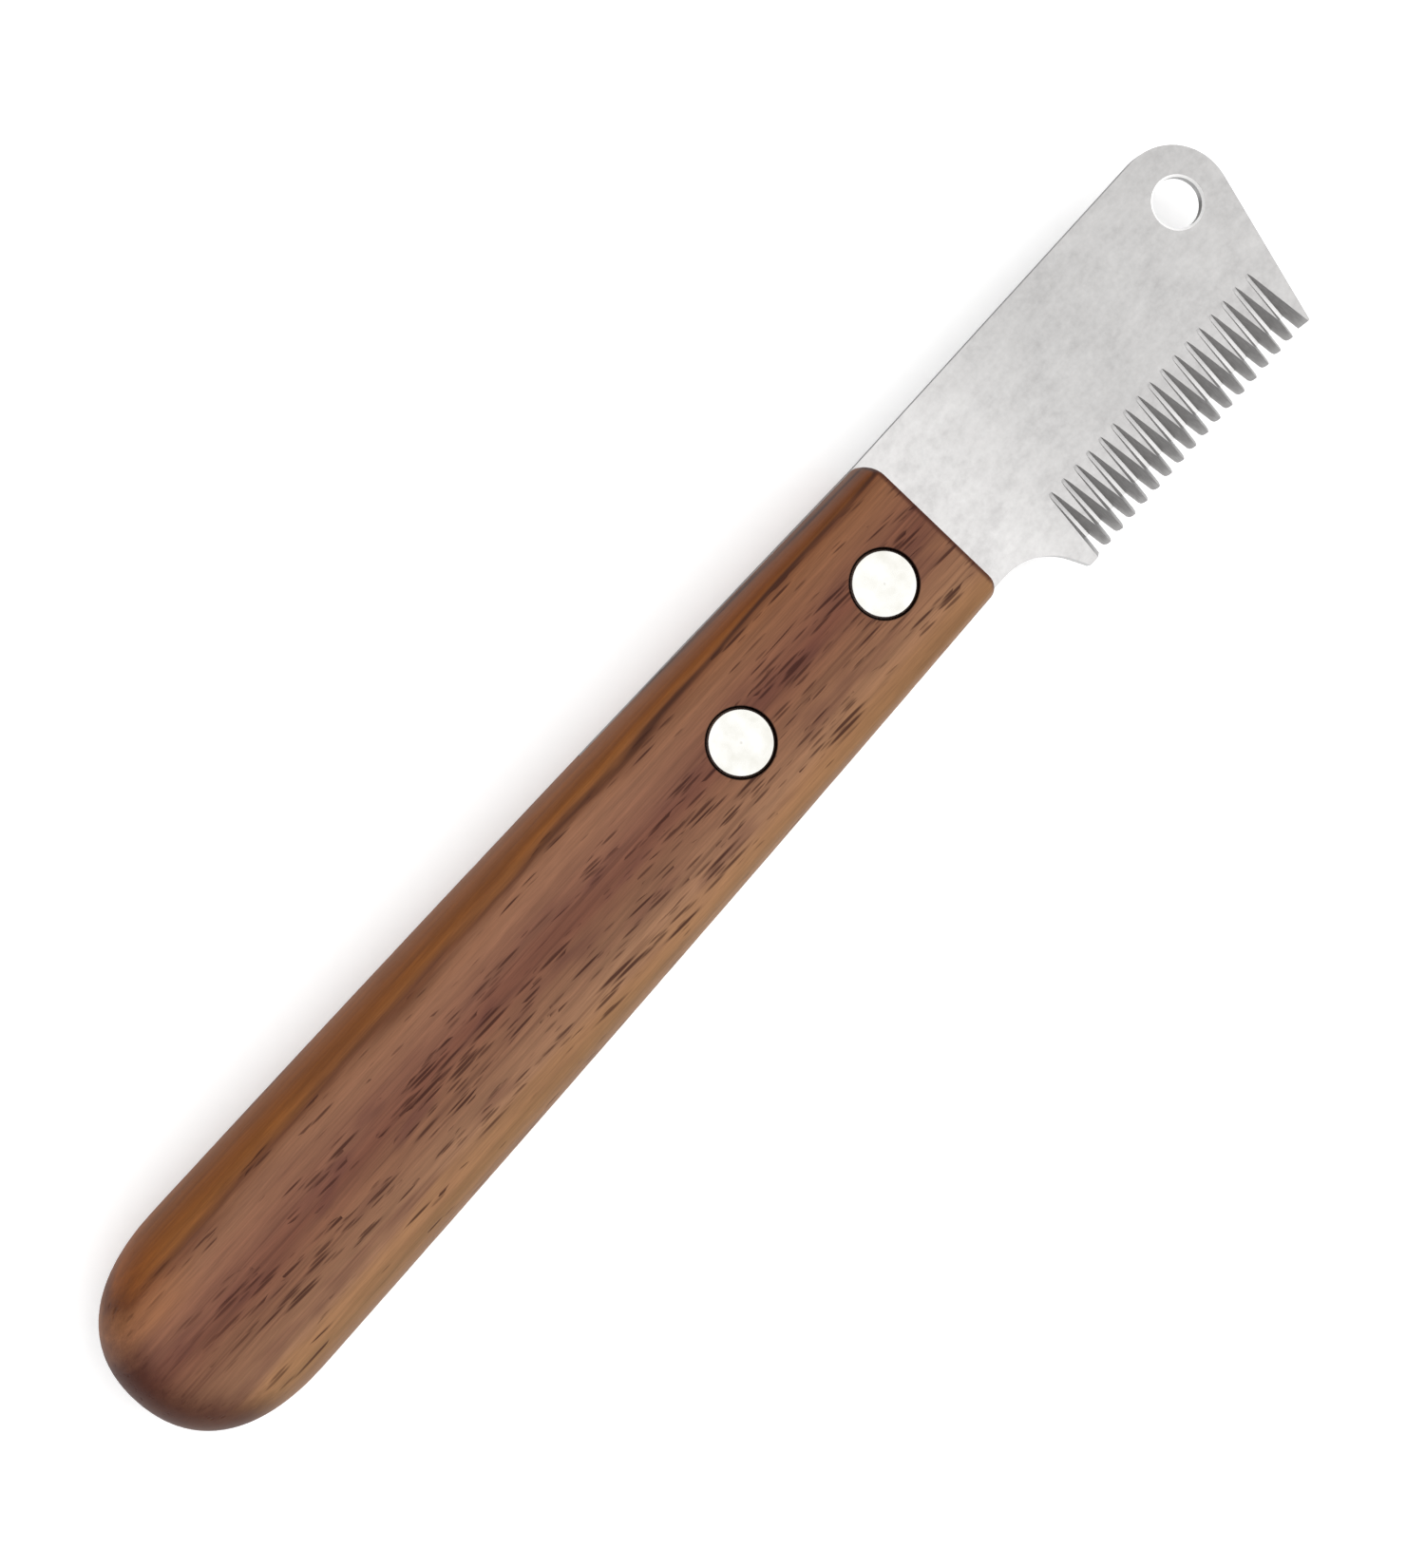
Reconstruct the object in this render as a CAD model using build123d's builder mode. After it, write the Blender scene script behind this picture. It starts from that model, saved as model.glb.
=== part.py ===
from build123d import *

import os
from math import acos, cos, degrees, radians, sin, tan

# Stripping knife for dog grooming: a toothed steel blade whose half tang is riveted into a wooden
# handle. X runs from the handle to the blade, the teeth point to -Y, and the knife lies on the
# handle's flat underside at Z = 0. The origin is the middle of the handle's length. Millimetres.

# Handle, measured from its tail
handle_length = 119.0
handle_thickness = 12.5
shoulder_half_width = 11.5
middle_half_width = 10.9
front_half_width = 9.75
tail_length = 14.5
tail_fullness = 0.64
front_corner_radius = 1.2

# How far the crowned edge draws the outline in at the two flat faces
tail_crown = 4.6
shoulder_crown = 4.2
front_crown = 1.5
front_edge_break = 0.4
crown_step = 15

# Blade
blade_thickness = 1.5
blade_reach = 50.25
spine_height = 9.8
root_depth = 9.6
tooth_depth = 15.6
tip_radius = 6.5
tip_rake = 15.0
tang_length = 42.0
kerf_clearance = 0.1

# Choil: the hollow between the root and the heel of the teeth
choil_start = 2.0
choil_radius = 7.3
choil_angle = 65.0

# Hanging hole
hole_diameter = 5.5
hole_chamfer = 0.25
hole_inset = 5.95
hole_height = 3.3

# Ground grooves between the teeth: each ends in a short scoop, then slopes down to the tooth line
groove_count = 17
groove_pitch = 2.0
first_groove = 11.9
groove_run_out = 7.25
groove_floor = 0.4
groove_half_angle = 30.0
groove_slope = 12.0
scoop_radius = 2.5
scoop_depth = 0.35
tooth_tip_width = 1.1
tooth_tip_rounding = 0.35

# Two-part rivets
rivet_setback = 8.5
rivet_spacing = 22.0
head_diameter = 7.1
head_height = 1.7
head_chamfer = 0.2
head_recess = 0.1
seat_diameter = 7.5
tube_diameter = 4.5
shank_diameter = 3.0
rivet_end_gap = 0.4

# Places that follow from the sizes above
tail_x = -handle_length / 2
front_x = handle_length / 2
tip_x = front_x + blade_reach
middle_level = handle_thickness / 2
blade_floor = middle_level - blade_thickness / 2
blade_top = middle_level + blade_thickness / 2
front_rivet_x = front_x - rivet_setback
rear_rivet_x = front_rivet_x - rivet_spacing
rivet_places = {"front": front_rivet_x, "rear": rear_rivet_x}
seat_depth = head_height + head_recess
groove_places = [front_x + first_groove + groove_pitch * number for number in range(groove_count)]

# The scoop is an arc about an axis along X, tangent to the sloping run that follows it
slope = radians(groove_slope)
scoop_start = acos(cos(slope) - scoop_depth / scoop_radius)
scoop_turn = 2 * degrees(scoop_start - slope)
scoop_rise = scoop_radius / 2
run_start_y = -groove_run_out - scoop_radius * (sin(scoop_start) - sin(slope))
run_start_z = blade_top - scoop_depth
scoop_centre_y = run_start_y - scoop_radius * sin(slope)
scoop_centre_z = run_start_z + scoop_radius * cos(slope)

# Cuts of these sizes pass right through, and sizes closer than the last are the same
through_handle = 4 * shoulder_half_width
through_blade = 2 * blade_thickness
same_size = 1e-6


def handle_plan(inset):
    """Outline of the handle in plan. Inset 0 is the full outline, 1 the edge of a flat face."""
    shoulder_x = tail_x + tail_length
    nose_x = front_x - front_edge_break * inset
    shoulder = shoulder_half_width - shoulder_crown * inset
    middle = middle_half_width - (shoulder_crown + front_crown) / 2 * inset
    front = front_half_width - front_crown * inset
    middle_x = (shoulder_x + front_x) / 2
    end_x = tail_x + tail_crown * inset
    pull_x = shoulder_x - tail_fullness * (shoulder_x - end_x)
    pull_y = tail_fullness * shoulder
    with BuildSketch() as plan:
        with BuildLine():
            Bezier((shoulder_x, -shoulder), (pull_x, -shoulder), (end_x, -pull_y), (end_x, 0))
            Bezier((end_x, 0), (end_x, pull_y), (pull_x, shoulder), (shoulder_x, shoulder))
            ThreePointArc((shoulder_x, shoulder), (middle_x, middle), (nose_x, front))
            Line((nose_x, front), (nose_x, -front))
            ThreePointArc((nose_x, -front), (middle_x, -middle), (shoulder_x, -shoulder))
        make_face()
        fillet(plan.vertices().group_by(Axis.X)[-1], front_corner_radius)
    return plan.sketch


def make_handle():
    """One piece of wood with crowned edges, a saw kerf for the tang and two rivet holes."""
    with BuildPart() as handle:
        for angle in range(-90, 91, crown_step):
            level = middle_level * (1 + sin(radians(angle)))
            with BuildSketch(Plane.XY.offset(level)):
                add(handle_plan(1 - cos(radians(angle))))
        loft()
        kerf_length = tang_length + kerf_clearance
        with Locations((front_x - kerf_length, 0, middle_level)):
            Box(
                kerf_length + blade_reach,
                through_handle,
                blade_thickness,
                align=(Align.MIN, Align.CENTER, Align.CENTER),
                mode=Mode.SUBTRACT,
            )
        for rivet_x in rivet_places.values():
            for face in (
                Plane((rivet_x, 0, handle_thickness)),
                Plane((rivet_x, 0, 0), z_dir=(0, 0, -1)),
            ):
                with Locations(face):
                    CounterBoreHole(tube_diameter / 2, seat_diameter / 2, seat_depth, handle_thickness)
    handle.part.label = "handle"
    export_step(handle.part, "parts/handle.step")


def blade_outline():
    """Outline of the blade in front of the handle, with the hollow of the choil below its root."""
    tip_centre = (tip_x - tip_radius, spine_height - tip_radius)
    rake = radians(tip_rake)
    tangent_point = (tip_centre[0] + tip_radius * cos(rake), tip_centre[1] - tip_radius * sin(rake))
    last_corner = (tangent_point[0] - (tangent_point[1] + tooth_depth) * tan(rake), -tooth_depth)
    choil_x = front_x + choil_start
    choil = radians(choil_angle)
    choil_end = (
        choil_x + choil_radius * sin(choil),
        -root_depth - choil_radius * (1 - cos(choil)),
    )
    heel = (choil_end[0] + (tooth_depth + choil_end[1]) / tan(choil), -tooth_depth)
    root_x = front_x - front_corner_radius
    with BuildSketch() as outline:
        with BuildLine():
            Line((root_x, -root_depth), (root_x, spine_height))
            Line((root_x, spine_height), (tip_centre[0], spine_height))
            CenterArc(tip_centre, tip_radius, -tip_rake, 90 + tip_rake)
            Line(tangent_point, last_corner)
            Line(last_corner, heel)
            Line(heel, choil_end)
            CenterArc((choil_x, -root_depth - choil_radius), choil_radius, 90 - choil_angle, choil_angle)
            Line((choil_x, -root_depth), (root_x, -root_depth))
        make_face()
    return outline.sketch


def groove_section(rise):
    """Section of one ground groove: a narrow flat floor between two leaning walls."""
    spread = rise * tan(radians(groove_half_angle))
    half_floor = groove_floor / 2
    with BuildSketch() as section:
        Polygon(
            (-half_floor, 0),
            (half_floor, 0),
            (half_floor + spread, rise),
            (-half_floor - spread, rise),
            align=None,
        )
    return section.sketch


def tooth_tip_corners():
    """What is rounded off the ends of the teeth, as one strip along the tooth line."""
    with BuildSketch() as corners:
        with Locations((groove_places[0], -tooth_depth)):
            Rectangle(
                groove_places[-1] - groove_places[0],
                2 * tooth_tip_rounding,
                align=(Align.MIN, Align.CENTER),
            )
        with Locations(*[(groove_x + groove_pitch / 2, -tooth_depth) for groove_x in groove_places[:-1]]):
            RectangleRounded(
                tooth_tip_width,
                2 * tooth_tip_width,
                tooth_tip_rounding,
                align=(Align.CENTER, Align.MIN),
                mode=Mode.SUBTRACT,
            )
    return corners.sketch


def make_blade():
    """Steel plate with its tang: hanging hole, rivet holes, and the grooves ground on one face."""
    with BuildPart() as blade:
        with BuildSketch(Plane.XY.offset(blade_floor)):
            add(blade_outline())
            with BuildSketch(mode=Mode.PRIVATE) as tang:
                add(handle_plan(0))
                with Locations((front_x - tang_length, 0)):
                    Rectangle(
                        tang_length - front_corner_radius,
                        through_handle,
                        align=(Align.MIN, Align.CENTER),
                        mode=Mode.INTERSECT,
                    )
            add(tang.sketch)
        extrude(amount=blade_thickness)
        with Locations((tip_x - hole_inset, hole_height, blade_top)):
            Hole(hole_diameter / 2)
        rims = blade.edges().filter_by(GeomType.CIRCLE)
        hole_rims = rims.filter_by(lambda edge: abs(edge.radius - hole_diameter / 2) < same_size)
        chamfer(hole_rims, hole_chamfer)
        with Locations(*[(rivet_x, 0, blade_top) for rivet_x in rivet_places.values()]):
            Hole(tube_diameter / 2)
        for groove_x in groove_places:
            run = Plane(
                origin=(groove_x, run_start_y, run_start_z),
                x_dir=(1, 0, 0),
                z_dir=(0, -cos(slope), -sin(slope)),
            )
            with BuildSketch(run):
                add(groove_section(through_blade))
            extrude(amount=tooth_depth, mode=Mode.SUBTRACT)
            with BuildSketch(run):
                add(groove_section(scoop_rise))
            revolve(
                axis=Axis((groove_x, scoop_centre_y, scoop_centre_z), (1, 0, 0)),
                revolution_arc=scoop_turn,
                mode=Mode.SUBTRACT,
            )
        with BuildSketch(Plane.XY.offset(blade_floor)):
            add(tooth_tip_corners())
        extrude(amount=blade_thickness, mode=Mode.SUBTRACT)
    blade.part.label = "blade"
    export_step(blade.part, "parts/blade.step")


def make_rivet(place, rivet_x):
    """Cutlery rivet: a headed shank from above, pressed into a headed tube from below."""
    tube_floor = head_recess + head_height
    tube_end = handle_thickness - seat_depth - rivet_end_gap
    with BuildPart() as female:
        with Locations((rivet_x, 0, head_recess)):
            Cylinder(head_diameter / 2, head_height, align=(Align.CENTER, Align.CENTER, Align.MIN))
        chamfer(female.faces().sort_by(Axis.Z)[0].edges(), head_chamfer)
        with BuildSketch(Plane((rivet_x, 0, tube_floor))):
            Circle(tube_diameter / 2)
            Circle(shank_diameter / 2, mode=Mode.SUBTRACT)
        extrude(amount=tube_end - tube_floor)
    female.part.label = place + "_rivet_female"
    export_step(female.part, "parts/" + female.part.label + ".step")

    head_floor = handle_thickness - seat_depth
    with BuildPart() as male:
        with Locations((rivet_x, 0, head_floor)):
            Cylinder(head_diameter / 2, head_height, align=(Align.CENTER, Align.CENTER, Align.MIN))
        chamfer(male.faces().sort_by(Axis.Z)[-1].edges(), head_chamfer)
        with BuildSketch(Plane((rivet_x, 0, head_floor))):
            Circle(shank_diameter / 2)
        extrude(amount=-(head_floor - tube_floor - rivet_end_gap))
    male.part.label = place + "_rivet_male"
    export_step(male.part, "parts/" + male.part.label + ".step")


os.makedirs("parts", exist_ok=True)
make_handle()
make_blade()
for place, rivet_x in rivet_places.items():
    make_rivet(place, rivet_x)
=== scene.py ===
"""Stripping knife: walnut handle, ground steel blade and polished rivets, on a pale studio floor.

The scene is in metres, in the row frame: X from handle to blade, teeth to -Y, flat underside at Z = 0.
The places and sizes named in this script are in millimetres in the same frame.
"""

import math

import bpy
from mathutils import Matrix, Vector


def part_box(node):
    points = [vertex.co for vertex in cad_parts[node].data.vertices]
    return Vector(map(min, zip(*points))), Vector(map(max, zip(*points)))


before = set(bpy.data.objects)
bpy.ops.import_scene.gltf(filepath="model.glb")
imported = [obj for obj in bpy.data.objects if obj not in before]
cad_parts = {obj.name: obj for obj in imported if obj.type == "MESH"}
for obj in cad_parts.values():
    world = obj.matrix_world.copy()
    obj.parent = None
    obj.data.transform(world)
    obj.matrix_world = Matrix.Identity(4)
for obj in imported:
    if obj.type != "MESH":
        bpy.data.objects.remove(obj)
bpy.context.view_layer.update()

MM = 0.001

# Where things are, read from the frame and turned into millimetres
handle_low, handle_high = (Vector(corner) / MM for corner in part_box("handle"))
rivet_heads = ("front_rivet_male", "rear_rivet_male")
rivet_boxes = [[Vector(corner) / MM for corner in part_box(name)] for name in rivet_heads]
rivet_centres = [(low + high) / 2 for low, high in rivet_boxes]
head_radius = (rivet_boxes[0][1].x - rivet_boxes[0][0].x) / 2
tail_x = handle_low.x
front_x = handle_high.x
handle_top = handle_high.z


def srgb(red, green, blue):
    """Linear colour of a 0 to 255 screen colour."""
    channels = []
    for value in (red, green, blue):
        value /= 255
        channels.append(value / 12.92 if value <= 0.04045 else ((value + 0.055) / 1.055) ** 2.4)
    return (*channels, 1.0)


def grey(value):
    """Linear grey as a colour."""
    return (value, value, value, 1.0)


WHITE = grey(1.0)


# ---------------------------------------------------------------- shader node helpers


class Shader:
    """A material's node tree, with short ways to add nodes to it."""

    def __init__(self, name):
        self.material = bpy.data.materials.new(name)
        self.material.use_nodes = True
        self.tree = self.material.node_tree
        self.tree.nodes.clear()
        self.coords = self.add("TexCoord").outputs

    def feed(self, socket, value):
        """Links a socket to another node's output, or sets it to a plain value."""
        if isinstance(value, bpy.types.NodeSocket):
            self.tree.links.new(value, socket)
        else:
            socket.default_value = value

    def add(self, kind, inputs=None, **settings):
        """A node of this kind, with its settings made and its inputs set or linked."""
        node = self.tree.nodes.new("ShaderNode" + kind)
        for name, value in settings.items():
            setattr(node, name, value)
        for name, value in (inputs or {}).items():
            self.feed(node.inputs[name], value)
        return node

    def math(self, operation, first, second=0.0, third=0.0):
        """One Math node's result."""
        return self.add("Math", {0: first, 1: second, 2: third}, operation=operation).outputs[0]

    def product(self, first, *others):
        """Several values multiplied."""
        for other in others:
            first = self.math("MULTIPLY", first, other)
        return first

    def vector(self, operation, first, second):
        """One Vector Math node's vector result."""
        return self.add("VectorMath", {0: first, 1: second}, operation=operation).outputs[0]

    def split(self, vector):
        """A vector's X, Y and Z."""
        return tuple(self.add("SeparateXYZ", {"Vector": vector}).outputs)

    def place(self):
        """Place in the frame, in millimetres."""
        return self.vector("MULTIPLY", self.coords["Object"], (1 / MM, 1 / MM, 1 / MM))

    def distance(self, place, x, y):
        """Distance from an upright axis."""
        flat = self.vector("MULTIPLY", self.vector("SUBTRACT", place, (x, y, 0.0)), (1, 1, 0))
        return self.add("VectorMath", {0: flat}, operation="LENGTH").outputs["Value"]

    def noise(self, place, scale, detail, roughness=0.5):
        """Noise from 0 to 1."""
        inputs = {"Vector": place, "Scale": scale, "Detail": detail, "Roughness": roughness}
        return self.add("TexNoise", inputs).outputs["Fac"]

    def grain(self, place, along, across, detail, roughness=0.5):
        """Noise from 0 to 1, with one scale along X and another across it."""
        return self.noise(self.vector("MULTIPLY", place, (along, across, across)), 1.0, detail, roughness)

    def map_range(self, interpolation, value, low, high, out_low, out_high):
        """Value mapped from low..high to out_low..out_high and kept inside."""
        inputs = {"Value": value, "From Min": low, "From Max": high, "To Min": out_low, "To Max": out_high}
        return self.add("MapRange", inputs, interpolation_type=interpolation, clamp=True).outputs["Result"]

    def smooth(self, value, low, high, out_low=0.0, out_high=1.0):
        """Value mapped smoothly from low..high to out_low..out_high."""
        return self.map_range("SMOOTHSTEP", value, low, high, out_low, out_high)

    def linear(self, value, low, high, out_low=0.0, out_high=1.0):
        """Value mapped evenly from low..high to out_low..out_high."""
        return self.map_range("LINEAR", value, low, high, out_low, out_high)

    def ramp(self, value, stops):
        """Colour looked up from (position, colour) stops, positions from 0 to 1."""
        node = self.add("ValToRGB", {"Fac": value})
        elements = node.color_ramp.elements
        while len(elements) < len(stops):
            elements.new(1.0)
        for element, (position, colour) in zip(elements, stops):
            element.position = position
            element.color = colour
        return node.outputs["Color"]

    def mix(self, factor, first, second, blend="MIX"):
        """Two colours blended."""
        inputs = {0: factor, 6: first, 7: second}
        return self.add("Mix", inputs, data_type="RGBA", blend_type=blend).outputs[2]

    def tint(self, colour, factor, tone):
        """Colour multiplied by a tone where the factor is 1, and left alone where it is 0."""
        return self.mix(1.0, colour, self.mix(factor, WHITE, tone), "MULTIPLY")

    def bump(self, height, distance, strength):
        """Normal bent by a height, where a height of 1 is this distance in millimetres."""
        inputs = {"Height": height, "Distance": distance * MM, "Strength": strength}
        return self.add("Bump", inputs).outputs["Normal"]

    def finish(self, inputs):
        """Ends the tree in a Principled shader and returns the material."""
        shader = self.add("BsdfPrincipled", inputs)
        self.add("OutputMaterial", {"Surface": shader.outputs["BSDF"]})
        return self.material


# ---------------------------------------------------------------- walnut


# Colour of the walnut across its growth rings. A ring's number is its Y at the top of the handle
WALNUT_BANDS = (
    (-16.0, srgb(118, 82, 56)),
    (-10.0, srgb(128, 93, 61)),
    (-8.2, srgb(146, 106, 74)),
    (-7.0, srgb(146, 107, 80)),
    (-4.4, srgb(128, 90, 67)),
    (-2.0, srgb(124, 84, 62)),
    (0.4, srgb(109, 67, 51)),
    (2.2, srgb(119, 78, 60)),
    (3.6, srgb(127, 86, 65)),
    (5.0, srgb(132, 91, 68)),
    (6.2, srgb(127, 86, 62)),
    (7.3, srgb(99, 59, 36)),
    (8.8, srgb(132, 81, 38)),
    (11.0, srgb(110, 65, 30)),
)

# How crowded the pores are across the same rings
PORE_BANDS = (
    (-16.0, grey(0.4)),
    (-9.4, grey(0.1)),
    (-8.3, grey(0.3)),
    (-7.2, grey(0.85)),
    (-5.0, grey(0.75)),
    (-2.6, grey(0.8)),
    (-0.5, grey(1.0)),
    (2.2, grey(0.95)),
    (3.6, grey(0.25)),
    (6.0, grey(0.2)),
    (7.2, grey(0.5)),
    (8.0, grey(0.0)),
)

# Sorts of pore: cell length and width, share of cells filled, darkness
PORE_LAYERS = (
    (9.0, 0.56, 0.7, 1.0),
    (7.0, 0.5, 0.7, 0.95),
    (5.4, 0.46, 0.7, 0.85),
    (4.2, 0.42, 0.7, 0.75),
    (2.8, 0.34, 0.6, 0.5),
)

# Noise in the wood: scale along the grain and across it, detail, and roughness where it isn't the usual
SLOW_WAVER = (0.02, 0.1, 2.0)
QUICK_WAVER = (0.09, 0.7, 3.0)
STREAKS = (0.05, 1.3, 3.0, 0.6)
FIBRES = (0.3, 7.0, 2.0, 0.6)
SMUDGES = (0.1, 0.4, 2.0)
VEINS = (0.05, 2.6, 1.0)
PORE_BENDS = (0.03, 0.1, 1.0)
PORE_CLUSTERS = (0.09, 0.33, 1.0)
LINE_BREAKS = (0.08, 0.8, 2.0)

# Light and dark of the streaks and fibres, by their noise
STREAK_TONES = ((0.25, grey(0.3)), (0.75, grey(0.68)))
FIBRE_TONES = ((0.25, grey(0.3)), (0.75, grey(0.7)))

# Limits between which each noise turns into its feature
WAVER_LIMITS = (0.25, 0.75)
SMUDGE_LIMITS = (0.48, 0.7)
VEIN_LIMITS = (0.56, 0.7)
BEND_LIMITS = (0.2, 0.8)
CLUSTER_LIMITS = (0.34, 0.6)
BREAK_LIMITS = (0.3, 0.6)

# How strongly each feature shows, from 0 to 1
STREAK_STRENGTH = 0.5
FIBRE_STRENGTH = 0.35
SMUDGE_STRENGTH = 0.45
VEIN_STRENGTH = 0.4
PORE_STRENGTH = 0.85
LINE_STRENGTH = 0.9
END_GRAIN_STRENGTH = 0.8
ARRIS_SHADOW_STRENGTH = 0.8
SEAT_STRENGTH = 0.7

# Browns that the wood is mixed with, and tones that it is multiplied by
SMUDGE_BROWN = srgb(80, 42, 40)
VEIN_BROWN = srgb(72, 38, 28)
PORE_BROWN = srgb(50, 18, 10)
LINE_BROWN = srgb(56, 26, 12)
END_GRAIN_AND_SHADE_BROWN = srgb(58, 21, 11)
SEAT_BROWN = srgb(24, 12, 9)
BLADE_END_TONE = (0.92, 0.82, 0.66, 1)
TAIL_END_TONE = (1.12, 1.02, 0.82, 1)
# Painted shade on the spine's side of the handle
SPINE_SIDE_SHADE_TONE = (0.78, 0.67, 0.5, 1)

# Stretches along X over which the wood changes
WAVER_STEADIES = (10.0, 35.0)
RINGS_CLIMB = (15.0, 42.0)
BLADE_END_WARMS = (15.0, 45.0)
LINE_DARKENS = (-15.0, 30.0)
PORES_CROWD = (tail_x + 4.0, tail_x + 18.0)
TAIL_END_WARMS = (tail_x + 16.0, tail_x + 8.0)
# Painted shadow line in the arris where the handle meets the blade
ARRIS_SHADOW_STRETCH = (front_x - 1.0, front_x - 0.5)

# The rounded tail: its radius, how far in its dark rim of painted shade starts and is full, and how far back
# it fades in
TAIL_RADIUS = 11.5
RIM_WIDTH = 6.5
RIM_FULL_WIDTH = 1.5
RIM_FADE = 6.0

# How much a ring's number falls for each millimetre of depth
RING_LEAN = 0.5

# How far the wavers move a ring, what is left of them at the blade, and which rings move there and how far
SLOW_REACH = 1.0
QUICK_REACH = 0.6
WAVER_LEFT = 0.35
CLIMBING_RINGS = (9.0, 7.8)
CLIMB = -0.9

# Rings over which each end's colour changes
BLADE_END_RINGS = (0.0, 6.5)
TAIL_END_RINGS = (2.0, 6.0)
END_DARK_RINGS = (2.0, 5.0)

# How far a face looks along X to be end grain, and along Y to be the spine's side, where painted shade
# darkens it
END_GRAIN_FACES = (0.03, 0.75)
SPINE_SIDE_SHADE_FACES = (0.35, 0.85)

# The pores' slope across the bands, how far they bend aside, their edge, and their half lengths in cells
PORE_SLOPE = 0.04
PORE_BEND = 0.5
PORE_EDGE = (1.0, 0.45)
SHORTEST_PORE = 0.26
LONGEST_PORE = 0.46

# The dark line's ring, and the distances from it at which it starts and is fully dark
LINE_RING = 7.5
LINE_EDGE = (0.65, 0.05)

# Distances from a rivet's axis at which the shade in its seat starts and is full
SEAT_SHADE = (head_radius + 0.32, head_radius + 0.17)

# Roughness of clean wood and of streaked, porous wood, and the bump's full height and strength
WOOD_ROUGHNESS = (0.52, 0.68)
WOOD_BUMP = (0.06, 0.6)


def by_ring(s, ring, stops):
    """Colour looked up from (ring, colour) stops."""
    low, high = stops[0][0], stops[-1][0]
    even = [((place - low) / (high - low), colour) for place, colour in stops]
    return s.ramp(s.linear(ring, low, high), even)


def growth_ring(s, place):
    """Growth ring at a place. At the handle's top it is Y, but for a slow waver along the grain."""
    x, y, z = s.split(place)
    level_ring = s.math("MULTIPLY_ADD", s.math("SUBTRACT", handle_top, z), -RING_LEAN, y)
    slow = s.linear(s.grain(place, *SLOW_WAVER), *WAVER_LIMITS, -SLOW_REACH, SLOW_REACH)
    quick = s.linear(s.grain(place, *QUICK_WAVER), *WAVER_LIMITS, -QUICK_REACH, QUICK_REACH)
    steadied = s.product(s.math("ADD", slow, quick), s.smooth(x, *WAVER_STEADIES, 1.0, WAVER_LEFT))

    # Towards the blade all rings but the outermost move to the spine's side
    climb = s.product(s.smooth(x, *RINGS_CLIMB, 0.0, CLIMB), s.smooth(level_ring, *CLIMBING_RINGS))
    return s.math("ADD", level_ring, s.math("ADD", steadied, climb))


def wood_figure(s, place, ring, crowding, streak, fibre):
    """Colour of the bands with their streaks and fibres, and smudges and veins where pores crowd."""
    bands = by_ring(s, ring, WALNUT_BANDS)
    streaked = s.mix(STREAK_STRENGTH, bands, s.ramp(streak, STREAK_TONES), "OVERLAY")
    fibred = s.mix(FIBRE_STRENGTH, streaked, s.ramp(fibre, FIBRE_TONES), "OVERLAY")
    smudge = s.smooth(s.grain(place, *SMUDGES), *SMUDGE_LIMITS)
    smudged = s.mix(s.product(smudge, crowding, SMUDGE_STRENGTH), fibred, SMUDGE_BROWN)
    vein = s.smooth(s.grain(place, *VEINS), *VEIN_LIMITS)
    return s.mix(s.product(vein, crowding, VEIN_STRENGTH), smudged, VEIN_BROWN)


def pore_layer(s, leaning, crowding, length, width, share):
    """Dark dashes along the grain: long thin cells, some of them filled about their middles."""
    cells = s.vector("MULTIPLY", leaning, (1 / length, 1 / width, 1 / width))
    voronoi = s.add("TexVoronoi", {"Vector": cells, "Scale": 1.0, "Randomness": 1.0})
    pick = s.add("SeparateColor", {"Color": voronoi.outputs["Color"]}).outputs
    chosen = s.math("LESS_THAN", pick[0], s.product(crowding, share))
    size = s.linear(pick[1], 0.0, 1.0, SHORTEST_PORE, LONGEST_PORE)
    dash = s.smooth(s.math("DIVIDE", voronoi.outputs["Distance"], size), *PORE_EDGE)
    return s.product(dash, chosen)


def all_pores(s, place, crowding):
    """Pores of every sort, in clusters that lean a few degrees across the bands."""
    x, y, z = s.split(place)
    bend = s.linear(s.grain(place, *PORE_BENDS), *BEND_LIMITS, -PORE_BEND, PORE_BEND)
    leaning_y = s.math("ADD", s.math("MULTIPLY_ADD", x, PORE_SLOPE, y), bend)
    leaning = s.add("CombineXYZ", {"X": x, "Y": leaning_y, "Z": z}).outputs[0]
    cluster = s.smooth(s.grain(leaning, *PORE_CLUSTERS), *CLUSTER_LIMITS)
    crowded = s.product(crowding, cluster)
    pores = 0.0
    for length, width, share, darkness in PORE_LAYERS:
        layer = s.product(pore_layer(s, leaning, crowded, length, width, share), darkness)
        pores = s.math("MAXIMUM", pores, layer)
    return pores


def warmed_ends(s, colour, x, ring):
    """The wood is warmer towards the blade, and on the spine's side of the tail."""
    near_blade = s.product(s.smooth(x, *BLADE_END_WARMS), s.linear(ring, *BLADE_END_RINGS, 0.3, 1.0))
    near_tail = s.product(s.smooth(x, *TAIL_END_WARMS), s.smooth(ring, *TAIL_END_RINGS))
    return s.tint(s.tint(colour, near_blade, BLADE_END_TONE), near_tail, TAIL_END_TONE)


def dark_line(s, place, x, ring):
    """Strength of the broken dark line under the top band, towards the blade."""
    near_line = s.smooth(s.math("ABSOLUTE", s.math("SUBTRACT", ring, LINE_RING)), *LINE_EDGE)
    broken = s.smooth(s.grain(place, *LINE_BREAKS), *BREAK_LIMITS)
    return s.product(near_line, s.smooth(x, *LINE_DARKENS), broken, LINE_STRENGTH)


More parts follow.
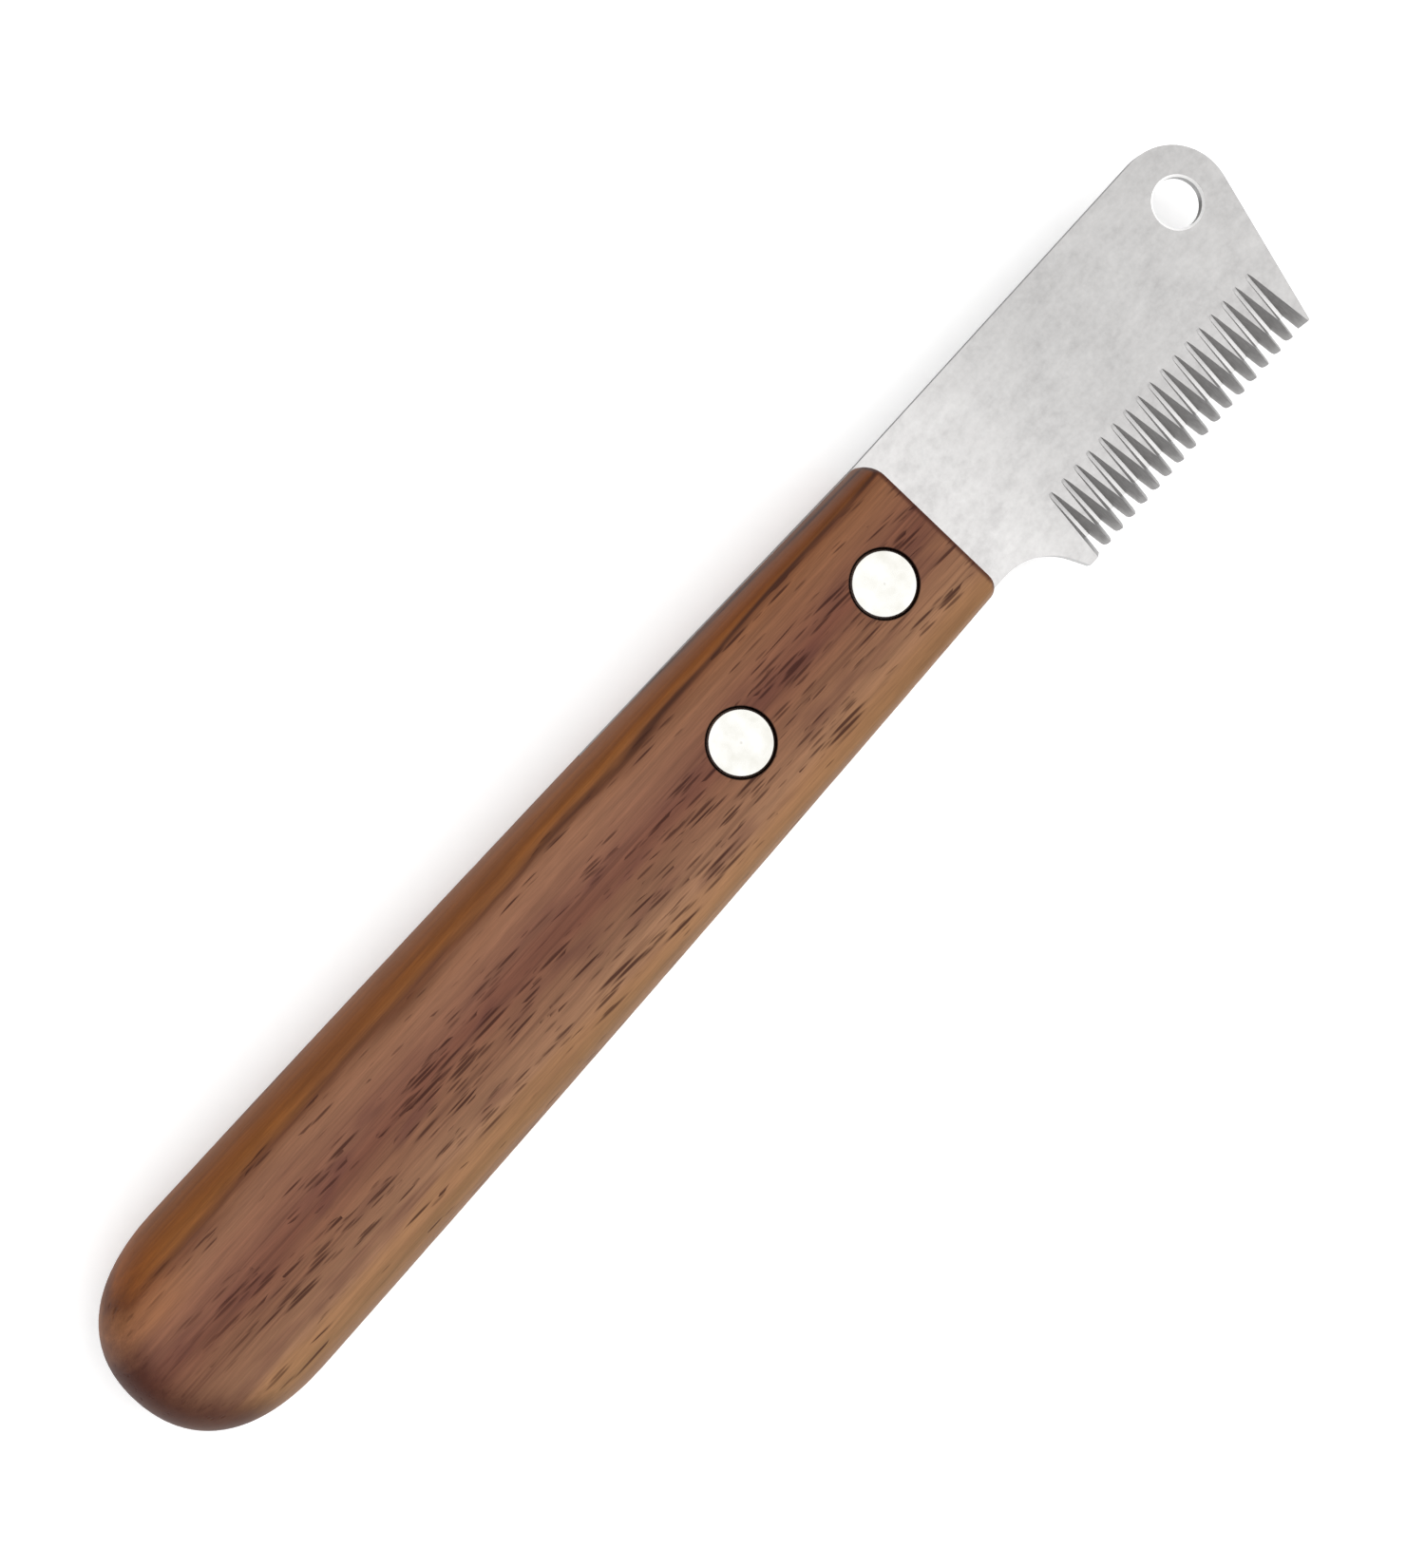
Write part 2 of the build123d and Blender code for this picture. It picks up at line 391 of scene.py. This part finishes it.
def dark_ends(s, place, x, ring, normal_x):
    """Strength of the darkening in the tail's end grain, partly its own colour and partly painted shade, of
    the painted shade on the tail's rolled rim, and of the painted shadow in the sawn arris beside the blade.
    """
    facing = s.smooth(s.math("ABSOLUTE", normal_x), *END_GRAIN_FACES)
    end_grain = s.product(facing, END_GRAIN_STRENGTH)
    bend_x = tail_x + TAIL_RADIUS
    outward = s.distance(place, bend_x, 0.0)
    # Painted shade over the tail's rim, where its top rolls off
    rim = s.smooth(outward, TAIL_RADIUS - RIM_WIDTH, TAIL_RADIUS - RIM_FULL_WIDTH)
    painted_rim_shade = s.product(rim, s.smooth(x, bend_x, bend_x - RIM_FADE))
    tail = s.product(s.math("MAXIMUM", end_grain, painted_rim_shade), s.linear(ring, *END_DARK_RINGS, 0.85, 0.05))
    # Painted shadow along the arris beside the blade
    return s.math("MAXIMUM", tail, s.product(s.smooth(x, *ARRIS_SHADOW_STRETCH), ARRIS_SHADOW_STRENGTH))


def dark_seats(s, place):
    """Strength of the shade inside the rivet seats."""
    shade = 0.0
    for centre in rivet_centres:
        seat = s.smooth(s.distance(place, centre.x, centre.y), *SEAT_SHADE)
        shade = s.math("MAXIMUM", shade, seat)
    return s.product(shade, SEAT_STRENGTH)


def walnut():
    """Solid walnut: soft bands along the grain, fine fibres and short dark pores."""
    s = Shader("walnut_oiled")
    place = s.place()
    x = s.split(place)[0]
    normal_x, normal_y, _ = s.split(s.coords["Normal"])
    ring = growth_ring(s, place)
    streak = s.grain(place, *STREAKS)
    fibre = s.grain(place, *FIBRES)
    crowding = by_ring(s, ring, PORE_BANDS)
    calm_tail = s.smooth(x, *PORES_CROWD, 0.3, 1.0)
    pores = all_pores(s, place, s.product(crowding, calm_tail))

    colour = wood_figure(s, place, ring, crowding, streak, fibre)
    colour = s.mix(s.product(pores, calm_tail, PORE_STRENGTH), colour, PORE_BROWN)
    colour = warmed_ends(s, colour, x, ring)
    colour = s.mix(dark_line(s, place, x, ring), colour, LINE_BROWN)
    # Tail end grain and rim darkened, partly the end grain's own colour and partly painted shade; the arris
    # gets a painted shadow
    colour = s.mix(dark_ends(s, place, x, ring, normal_x), colour, END_GRAIN_AND_SHADE_BROWN)
    # The spine's side is darkened and loses blue: painted shade on the side facing away from the light
    colour = s.tint(colour, s.smooth(normal_y, *SPINE_SIDE_SHADE_FACES), SPINE_SIDE_SHADE_TONE)
    colour = s.mix(dark_seats(s, place), colour, SEAT_BROWN)

    relief = s.math("MULTIPLY_ADD", pores, -1.0, s.product(fibre, 0.25))
    dullness = s.math("ADD", pores, s.product(streak, 0.4))
    return s.finish({
        "Base Color": colour,
        "Roughness": s.linear(dullness, 0.0, 1.4, *WOOD_ROUGHNESS),
        "Specular IOR Level": 0.15,
        "Normal": s.bump(relief, *WOOD_BUMP),
    })


# ---------------------------------------------------------------- metal


# Steel colours. Tones follow a noise, and the rest are plain
PLATE_TONES = (
    (0.36, (0.375, 0.368, 0.365, 1)),
    (0.5, (0.435, 0.428, 0.424, 1)),
    (0.64, (0.485, 0.478, 0.473, 1)),
)
# Groove walls: darker partly for their ground finish and partly as painted shade
WALL_GROUND_AND_SHADE_TONES = ((0.3, (0.29, 0.285, 0.283, 1)), (0.7, (0.41, 0.405, 0.402, 1)))
FLOOR_DARK = (0.33, 0.325, 0.323, 1)
FLOOR_BRIGHT = (0.52, 0.515, 0.51, 1)
# The hole's chamfer rim is painted near white as a highlight
RIM_HIGHLIGHT = (0.95, 0.945, 0.94, 1)
SHEARED_GREY = 0.42
# The spine's grey is painted shade on the edge facing away from the light
SPINE_SHADE_GREY = 0.09

# Noise in the steel: scale, detail and roughness. Rolled and brushed noise has a scale along X and one across
CLOUDS = (0.2, 3.0, 0.6)
SPECKS = (1.3, 4.0, 0.7)
ROLLED = (0.35, 0.8, 3.0, 0.6)
BRUSHED = (0.35, 12.0, 3.0, 0.7)
SCRATCH_SCALES = (14.0, 0.5, 14.0)

# How far each sort of face looks up or down, from 0 to 1: where the sort starts, and where it is certain
FLOOR_NOT_PLATE = (0.998, 0.99)
FLOOR_NOT_RIM = (0.8, 0.9)
RIM_NOT_FLOOR = (0.76, 0.72)
RIM_NOT_WALL = (0.64, 0.69)
WALL = (0.62, 0.55)
SHEARED = (0.35, 0.2)

# The plate brightens along this stretch of X, and the groove floors along this stretch of Y
PLATE_BRIGHTENS = (front_x + 26.0, front_x - 4.0)
PLATE_GAIN = 1.4
FLOORS_BRIGHTEN = (-8.0, -13.0)

# How far an edge looks along Y to be the spine
SPINE_FACES = (0.3, 0.8)

# Shares of the noises in the mottling, its limits, and the steel's roughness at them
CLOUD_SHARE = 0.35
SPECK_SHARE = 0.35
ROLLED_SHARE = 0.3
MOTTLE_LIMITS = (0.3, 0.7)
STEEL_ROUGHNESS = (0.46, 0.36)
RIM_ROUGHENING = 0.3
STEEL_BUMP = (0.01, 0.5)


def brightened_plate(s, x, mottle):
    """Clouded plate, brighter towards the handle."""
    gain = s.smooth(x, *PLATE_BRIGHTENS, 1.0, PLATE_GAIN)
    gain_colour = s.add("CombineXYZ", {0: gain, 1: gain, 2: gain}).outputs[0]
    return s.mix(1.0, s.ramp(mottle, PLATE_TONES), gain_colour, "MULTIPLY")


def ground_grooves(s, place, y, facing, plate):
    """The plate with its grooves: scratched leaning walls, darker partly for their ground finish and partly
    as painted shade, and floors that brighten to the tooth line.
    """
    on_floor = s.product(s.smooth(facing, *FLOOR_NOT_PLATE), s.smooth(facing, *FLOOR_NOT_RIM))
    floor_tone = s.mix(s.smooth(y, *FLOORS_BRIGHTEN), FLOOR_DARK, FLOOR_BRIGHT)
    floored = s.mix(on_floor, plate, floor_tone)
    scratch = s.noise(s.vector("MULTIPLY", place, SCRATCH_SCALES), 1.0, 2.0)
    return s.mix(s.smooth(facing, *WALL), floored, s.ramp(scratch, WALL_GROUND_AND_SHADE_TONES))


def sheared_edges(s, normal_y, facing, face):
    """The faces with their sheared edges, darkest along the spine, where shade is painted into the colour."""
    edge = s.smooth(normal_y, *SPINE_FACES, SHEARED_GREY, SPINE_SHADE_GREY)
    edge_colour = s.add("CombineColor", {0: edge, 1: edge, 2: edge}).outputs[0]
    return s.mix(s.smooth(facing, *SHEARED), face, edge_colour)


def steel():
    """Satin steel with faint clouding: ground grooves with partly painted shade on their walls, a spine
    painted dark as shade and a hole rim painted bright as a highlight.
    """
    s = Shader("steel_satin")
    place = s.place()
    x, y, _ = s.split(place)
    _, normal_y, normal_z = s.split(s.coords["Normal"])
    facing = s.math("ABSOLUTE", normal_z)
    clouds = s.product(s.noise(place, *CLOUDS), CLOUD_SHARE)
    blotches = s.math("MULTIPLY_ADD", s.noise(place, *SPECKS), SPECK_SHARE, clouds)
    mottle = s.math("MULTIPLY_ADD", s.grain(place, *ROLLED), ROLLED_SHARE, blotches)
    rim = s.product(s.smooth(facing, *RIM_NOT_WALL), s.smooth(facing, *RIM_NOT_FLOOR))

    colour = brightened_plate(s, x, mottle)
    colour = ground_grooves(s, place, y, facing, colour)
    colour = sheared_edges(s, normal_y, facing, colour)
    # Painted highlight on the hole's chamfer rim
    colour = s.mix(rim, colour, RIM_HIGHLIGHT)

    height = s.math("MULTIPLY_ADD", s.grain(place, *BRUSHED), 0.2, s.product(mottle, 0.5))
    roughness = s.linear(mottle, *MOTTLE_LIMITS, *STEEL_ROUGHNESS)
    return s.finish({
        "Base Color": colour,
        "Metallic": 1.0,
        "Roughness": s.math("MULTIPLY_ADD", rim, RIM_ROUGHENING, roughness),
        "Normal": s.bump(height, *STEEL_BUMP),
    })


# Rivets: wear noise and its limits, colours and roughness by wear, rings' phase per millimetre, mark
WEAR = (0.5, 2.0)
WEAR_LIMITS = (0.3, 0.7)
RIVET_ROUGHNESS = (0.3, 0.24)
RIVET_BUMP = (0.02, 0.15)
RIVET_TONES = ((0.3, (0.68, 0.67, 0.62, 1)), (0.7, (0.82, 0.815, 0.79, 1)))
TURNING_RATE = 38.0
MARK_GREY = (0.45, 0.42, 0.38, 1)
MARK_EDGE = (0.2, 0.08)
MARK_STRENGTH = 0.35


def rivet_metal(name, centre):
    """Polished rivet head with faint turning rings and the lathe's centre mark."""
    s = Shader(name)
    place = s.place()
    radius = s.distance(place, centre.x, centre.y)
    rings = s.math("SINE", s.product(radius, TURNING_RATE))
    mark = s.smooth(radius, *MARK_EDGE)
    wear = s.noise(place, *WEAR)
    height = s.math("MULTIPLY_ADD", rings, 0.1, s.product(mark, -1.0))
    return s.finish({
        "Base Color": s.mix(s.product(mark, MARK_STRENGTH), s.ramp(wear, RIVET_TONES), MARK_GREY),
        "Metallic": 1.0,
        "Roughness": s.linear(wear, *WEAR_LIMITS, *RIVET_ROUGHNESS),
        "Normal": s.bump(height, *RIVET_BUMP),
    })


# ---------------------------------------------------------------- stage


# Camera: how far from its aim, the height of the frame there, and the aim
CAMERA_DISTANCE = 310.2
FRAME_HEIGHT = 161.0
AIM_BEHIND_FRONT = 34.74
AIM_Y = -1.45
SENSOR_WIDTH = 36.0
NEAREST_SEEN = 10.0

# Camera angles in degrees
LEAN_TO_TAIL = 7.5
LEAN_TO_SPINE = 7.5
TURN = 47.96

# Surroundings: where they are brightest, the cosines between which they brighten, and their strengths
SKY_DIRECTION = (0.32, -0.36, 0.88)
SKY_FADE = (-0.3, 0.75)
SKY_DIM = 0.3
SKY_BRIGHT = 1.32

# Key light, with its power in watts
KEY_PLACE = Vector((450.0, -450.0, 500.0))
KEY_SIZE = 500.0
KEY_POWER = 1.2

# Floor, its paper's colours by their noise, the noise's scale per metre, and the glow from below
FLOOR_HALF = 1500.0
PAPER_TONES = ((0.3, grey(0.93)), (0.7, grey(0.95)))
PAPER_SCALE = 900.0
PAPER_GLOW = 0.25


def dress(piece, material):
    """Gives a piece one material."""
    piece.data.materials.clear()
    piece.data.materials.append(material)


def make_camera():
    """Looks down on the knife, leaning over its tail and spine, and turned so the blade is top right."""
    aim = Vector((front_x - AIM_BEHIND_FRONT, AIM_Y, (handle_low.z + handle_high.z) / 2))
    lean_x = -math.tan(math.radians(LEAN_TO_TAIL))
    lean_y = math.tan(math.radians(LEAN_TO_SPINE))
    back = Vector((lean_x, lean_y, 1.0)).normalized()
    along = (Vector((1, 0, 0)) - back.x * back).normalized()
    across = back.cross(along)
    turn = math.radians(TURN)
    right = math.cos(turn) * along - math.sin(turn) * across
    up = math.sin(turn) * along + math.cos(turn) * across
    data = bpy.data.cameras.new("camera")
    data.sensor_width = SENSOR_WIDTH
    data.lens = SENSOR_WIDTH * CAMERA_DISTANCE / FRAME_HEIGHT
    data.clip_start = NEAREST_SEEN * MM
    camera = bpy.data.objects.new("camera", data)
    axes = Matrix((right, up, back)).transposed().to_4x4()
    camera.matrix_world = Matrix.Translation((aim + CAMERA_DISTANCE * back) * MM) @ axes
    bpy.context.scene.collection.objects.link(camera)
    bpy.context.scene.camera = camera


def make_key_light():
    """Square soft light above the blade's side, pointed at the knife."""
    data = bpy.data.lights.new("key", "AREA")
    data.size = KEY_SIZE * MM
    data.energy = KEY_POWER
    light = bpy.data.objects.new("key", data)
    light.location = KEY_PLACE * MM
    light.rotation_euler = KEY_PLACE.to_track_quat("Z", "Y").to_euler()
    bpy.context.scene.collection.objects.link(light)


def make_sky():
    """White surroundings, brightest overhead and towards the blade and teeth, dim behind tail and spine."""
    world = bpy.data.worlds.new("studio")
    world.use_nodes = True
    tree = world.node_tree
    background = tree.nodes["Background"]
    background.inputs["Color"].default_value = WHITE
    direction = tree.nodes.new("ShaderNodeTexCoord")
    towards = tree.nodes.new("ShaderNodeVectorMath")
    towards.operation = "DOT_PRODUCT"
    towards.inputs[1].default_value = Vector(SKY_DIRECTION).normalized()
    fade = tree.nodes.new("ShaderNodeMapRange")
    fade.interpolation_type = "SMOOTHSTEP"
    limits = (*SKY_FADE, SKY_DIM, SKY_BRIGHT)
    for name, value in zip(("From Min", "From Max", "To Min", "To Max"), limits):
        fade.inputs[name].default_value = value
    tree.links.new(direction.outputs["Generated"], towards.inputs[0])
    tree.links.new(towards.outputs["Value"], fade.inputs["Value"])
    tree.links.new(fade.outputs["Result"], background.inputs["Strength"])
    bpy.context.scene.world = world


def floor_paper():
    """Matt white paper on a light table."""
    s = Shader("floor_paper")
    return s.finish({
        "Base Color": s.ramp(s.noise(s.coords["Object"], PAPER_SCALE, 2.0), PAPER_TONES),
        "Roughness": 0.9,
        "Specular IOR Level": 0.1,
        "Emission Color": WHITE,
        "Emission Strength": PAPER_GLOW,
    })


def make_floor():
    """Large pale floor that the knife lies on."""
    half = FLOOR_HALF * MM
    corners = [(-half, -half, 0), (half, -half, 0), (half, half, 0), (-half, half, 0)]
    mesh = bpy.data.meshes.new("floor")
    mesh.from_pydata(corners, [], [(0, 1, 2, 3)])
    floor = bpy.data.objects.new("floor", mesh)
    bpy.context.scene.collection.objects.link(floor)
    dress(floor, floor_paper())


make_camera()
make_floor()
make_sky()
make_key_light()
bpy.context.scene.view_settings.view_transform = "Standard"
bpy.context.scene.view_settings.look = "None"

dress(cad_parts["handle"], walnut())
dress(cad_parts["blade"], steel())
for centre, rivet in zip(rivet_centres, ("front", "rear")):
    metal = rivet_metal("rivet_" + rivet, centre)
    dress(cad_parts[rivet + "_rivet_male"], metal)
    dress(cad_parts[rivet + "_rivet_female"], metal)
